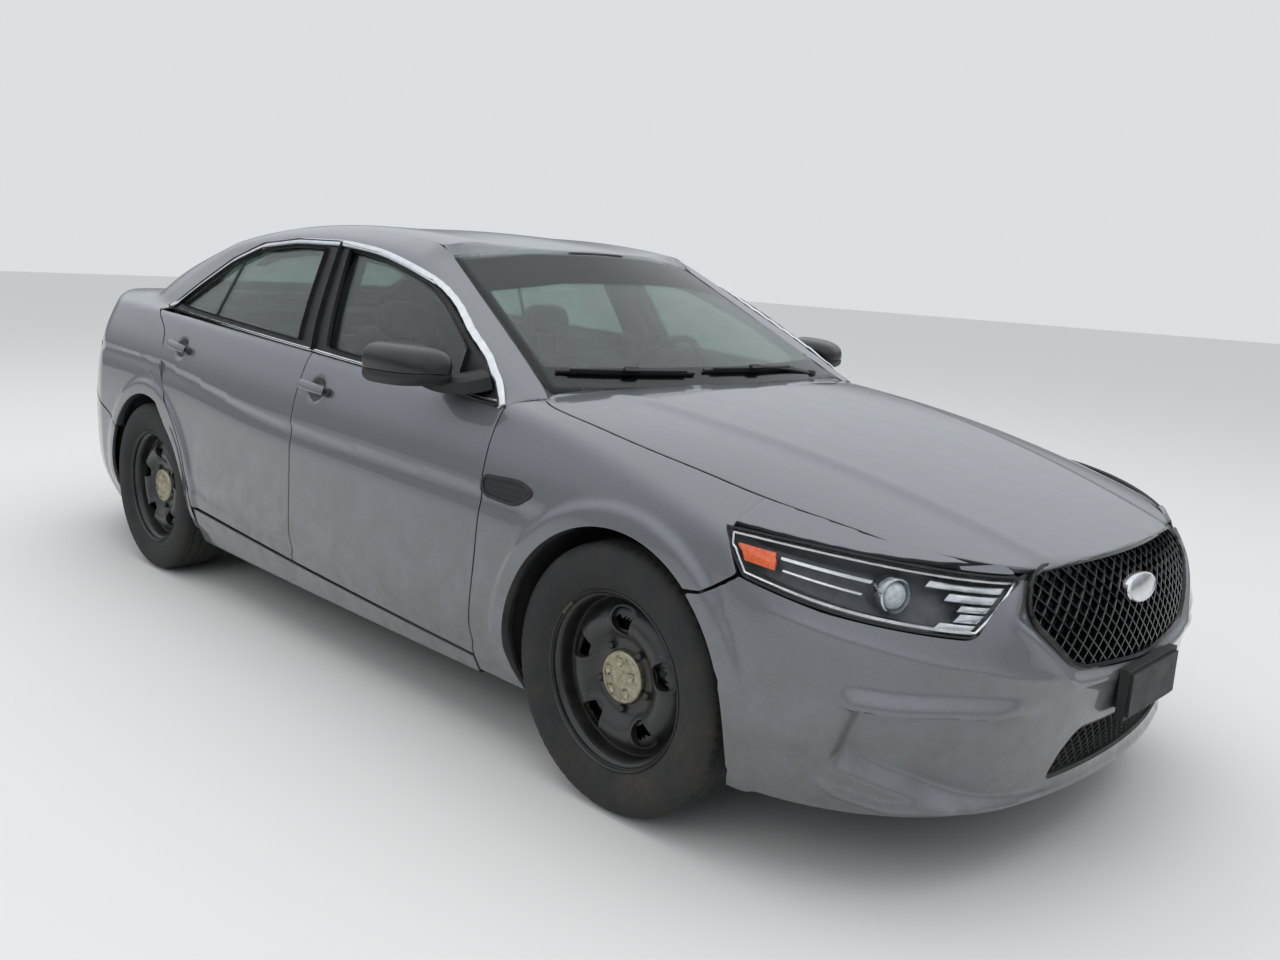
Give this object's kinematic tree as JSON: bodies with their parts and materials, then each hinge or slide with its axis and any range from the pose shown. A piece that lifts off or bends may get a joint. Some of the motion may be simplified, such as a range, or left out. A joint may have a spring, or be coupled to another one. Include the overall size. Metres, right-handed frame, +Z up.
{
  "type": "police patrol car",
  "caption": "Full-size four-door patrol saloon in plain dark grey, with black steel wheels, opening doors, bonnet, boot lid and fuel flap, and steered front wheels.",
  "frame": {"origin": "on the ground, below the middle of the car's overall length and width", "axes": "+X forward, +Y to the car's left, +Z up"},
  "size_m": [5.1567, 2.21, 1.5221],
  "materials": {
    "body_paint": "dark grey metallic paint, clear-coated",
    "frame_paint": "dark grey primer and paint",
    "underbody_black": "satin black underseal",
    "black_plastic": "grained black plastic",
    "gloss_black": "gloss black plastic",
    "lamp_clear": "clear moulded lens",
    "lamp_red": "red moulded lens",
    "tinted_glass": "green tinted safety glass",
    "interior_dark": "dark grey soft plastic",
    "seat_fabric": "charcoal woven cloth",
    "cast_metal": "cast iron",
    "exhaust_steel": "heat-dulled steel",
    "wheel_black": "satin black paint on pressed steel",
    "tyre_rubber": "worn black tyre rubber"
  },
  "bodies": {
    "car_body": {"underbody": "underbody_black", "front_frame": "frame_paint", "side_frames": "body_paint", "roof_panel": "body_paint", "front_wings": "body_paint", "quarter_panels": "body_paint", "front_bumper": "body_paint", "rear_bumper": "body_paint", "grilles": "black_plastic", "plate_bracket": "black_plastic", "headlamps": "lamp_clear", "tail_lamps": "lamp_red", "screens": "tinted_glass", "cowl": "black_plastic", "arch_liners": "black_plastic", "dashboard": "interior_dark", "front_seats": "seat_fabric", "rear_bench": "seat_fabric", "engine_block": "cast_metal", "exhaust": "exhaust_steel", "subframes": "underbody_black"},
    "steering_wheel_body": {"steering_wheel": "interior_dark"},
    "bonnet_body": {"bonnet": "body_paint"},
    "boot_lid_body": {"boot_lid": "body_paint"},
    "fuel_flap_body": {"fuel_flap": "body_paint"},
    "front_door_left_body": {"front_door_left": "body_paint", "front_door_glass_left": "tinted_glass", "mirror_left": "black_plastic"},
    "rear_door_left_body": {"rear_door_left": "body_paint", "rear_door_glass_left": "tinted_glass"},
    "front_knuckle_left_body": {"front_knuckle_left": "cast_metal"},
    "front_wheel_left_body": {"front_tyre_left": "tyre_rubber", "front_wheel_left": "wheel_black"},
    "rear_wheel_left_body": {"rear_tyre_left": "tyre_rubber", "rear_wheel_left": "wheel_black"},
    "front_door_right_body": {"front_door_right": "body_paint", "front_door_glass_right": "tinted_glass", "mirror_right": "black_plastic"},
    "rear_door_right_body": {"rear_door_right": "body_paint", "rear_door_glass_right": "tinted_glass"},
    "front_knuckle_right_body": {"front_knuckle_right": "cast_metal"},
    "front_wheel_right_body": {"front_tyre_right": "tyre_rubber", "front_wheel_right": "wheel_black"},
    "rear_wheel_right_body": {"rear_tyre_right": "tyre_rubber", "rear_wheel_right": "wheel_black"}
  },
  "joints": [
    {"name": "front_door_left_hinge", "type": "hinge", "parent": "car_body", "child": "front_door_left_body", "pos_m": [0.985, 0.953, 0.54], "axis": [0, 0, -1], "range_deg": [0, 66]},
    {"name": "rear_door_left_hinge", "type": "hinge", "parent": "car_body", "child": "rear_door_left_body", "pos_m": [-0.11, 0.953, 0.54], "axis": [0, 0, -1], "range_deg": [0, 66]},
    {"name": "front_door_right_hinge", "type": "hinge", "parent": "car_body", "child": "front_door_right_body", "pos_m": [0.985, -0.953, 0.54], "axis": [0, 0, 1], "range_deg": [0, 66]},
    {"name": "rear_door_right_hinge", "type": "hinge", "parent": "car_body", "child": "rear_door_right_body", "pos_m": [-0.11, -0.953, 0.54], "axis": [0, 0, 1], "range_deg": [0, 66]},
    {"name": "bonnet_hinge", "type": "hinge", "parent": "car_body", "child": "bonnet_body", "pos_m": [0.96, 0, 1.02], "axis": [0, -1, 0], "range_deg": [0, 50]},
    {"name": "boot_lid_hinge", "type": "hinge", "parent": "car_body", "child": "boot_lid_body", "pos_m": [-1.8, 0, 1.14], "axis": [0, 1, 0], "range_deg": [0, 72]},
    {"name": "fuel_flap_hinge", "type": "hinge", "parent": "car_body", "child": "fuel_flap_body", "pos_m": [-1.752, 0.92535, 0.84], "axis": [0, 0.1143, -0.9935], "range_deg": [0, 80]},
    {"name": "front_steer_left", "type": "hinge", "parent": "car_body", "child": "front_knuckle_left_body", "pos_m": [1.558, 0.79, 0.363], "axis": [0, 0, 1], "range_deg": [-34, 34]},
    {"name": "front_steer_right", "type": "hinge", "parent": "car_body", "child": "front_knuckle_right_body", "pos_m": [1.558, -0.79, 0.363], "axis": [0, 0, 1], "range_deg": [-34, 34]},
    {"name": "front_wheel_left_spin", "type": "hinge", "parent": "front_knuckle_left_body", "child": "front_wheel_left_body", "pos_m": [1.558, 0.828, 0.363], "axis": [0, 1, 0], "continuous": true},
    {"name": "rear_wheel_left_spin", "type": "hinge", "parent": "car_body", "child": "rear_wheel_left_body", "pos_m": [-1.31, 0.828, 0.363], "axis": [0, 1, 0], "continuous": true},
    {"name": "front_wheel_right_spin", "type": "hinge", "parent": "front_knuckle_right_body", "child": "front_wheel_right_body", "pos_m": [1.558, -0.828, 0.363], "axis": [0, 1, 0], "continuous": true},
    {"name": "rear_wheel_right_spin", "type": "hinge", "parent": "car_body", "child": "rear_wheel_right_body", "pos_m": [-1.31, -0.828, 0.363], "axis": [0, 1, 0], "continuous": true},
    {"name": "steering_wheel_turn", "type": "hinge", "parent": "car_body", "child": "steering_wheel_body", "pos_m": [0.47, 0.37, 0.985], "axis": [-0.9061, 0, 0.4231], "range_deg": [-510, 510]}
  ],
  "couplings": [
    {"joint": "front_steer_right", "follows": "front_steer_left", "ratio": 1},
    {"joint": "steering_wheel_turn", "follows": "front_steer_left", "ratio": 15}
  ]
}
